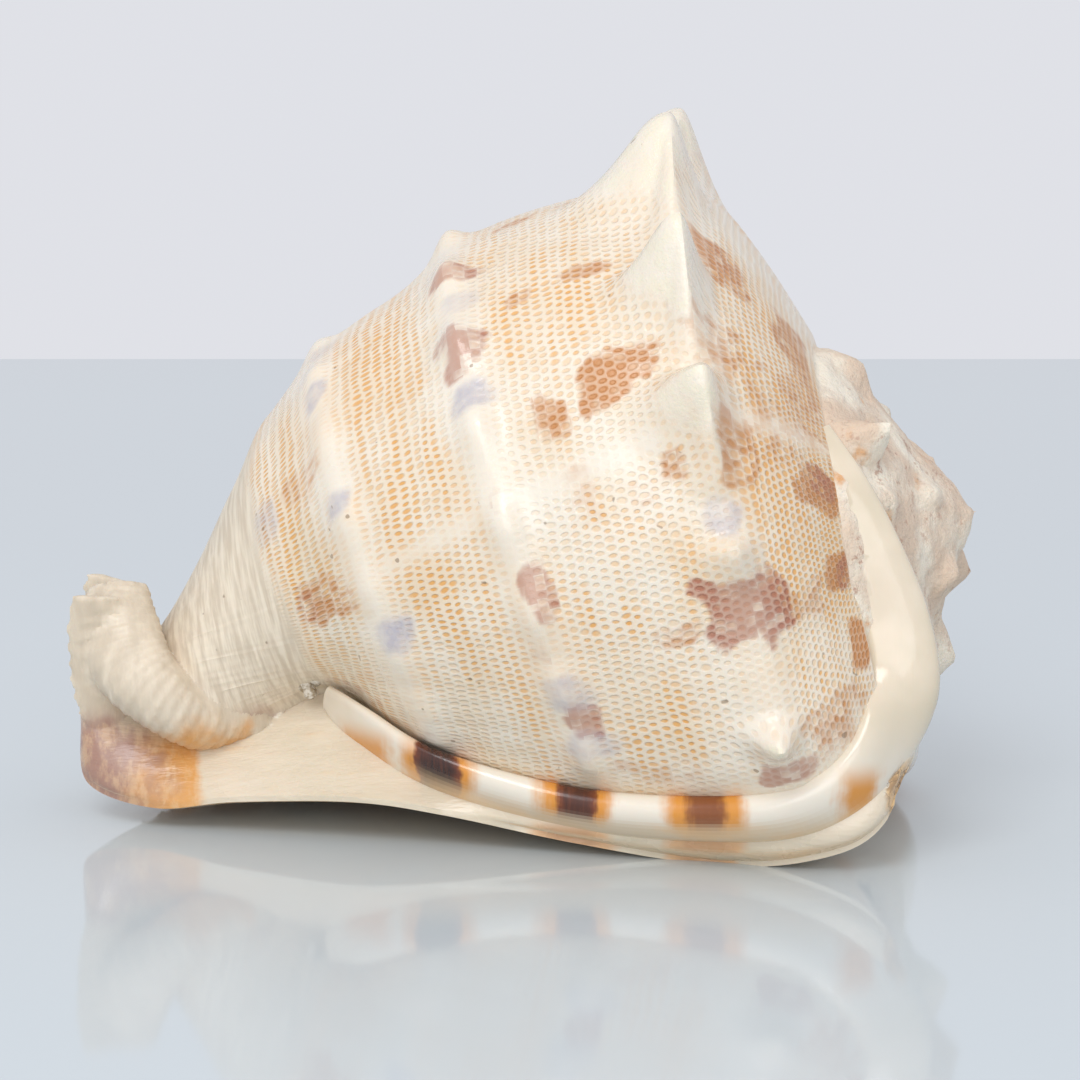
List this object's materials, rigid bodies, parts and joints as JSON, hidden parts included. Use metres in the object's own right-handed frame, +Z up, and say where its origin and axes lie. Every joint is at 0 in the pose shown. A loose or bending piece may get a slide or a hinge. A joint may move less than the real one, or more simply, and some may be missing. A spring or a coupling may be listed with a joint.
{
  "type": "horned helmet shell",
  "caption": "Horned helmet sea shell lying on its aperture: pitted ivory body whorl with shoulder horns, barred glossy varix, parietal shield, toothed outer lip and upturned canal.",
  "frame": {"origin": "middle of the bounding box, on the surface that the shell rests on", "axes": "+X towards the spire, -X towards the canal, -Y the side with the parietal shield, +Y the side with the outer lip, +Z up"},
  "size_m": [0.2214, 0.1762, 0.1726],
  "materials": {
    "shell_ivory": "satin, with glossy callus",
    "grit": "matt"
  },
  "bodies": {
    "root": {"shell": "shell_ivory", "lodged_grit": "grit"}
  },
  "joints": []
}
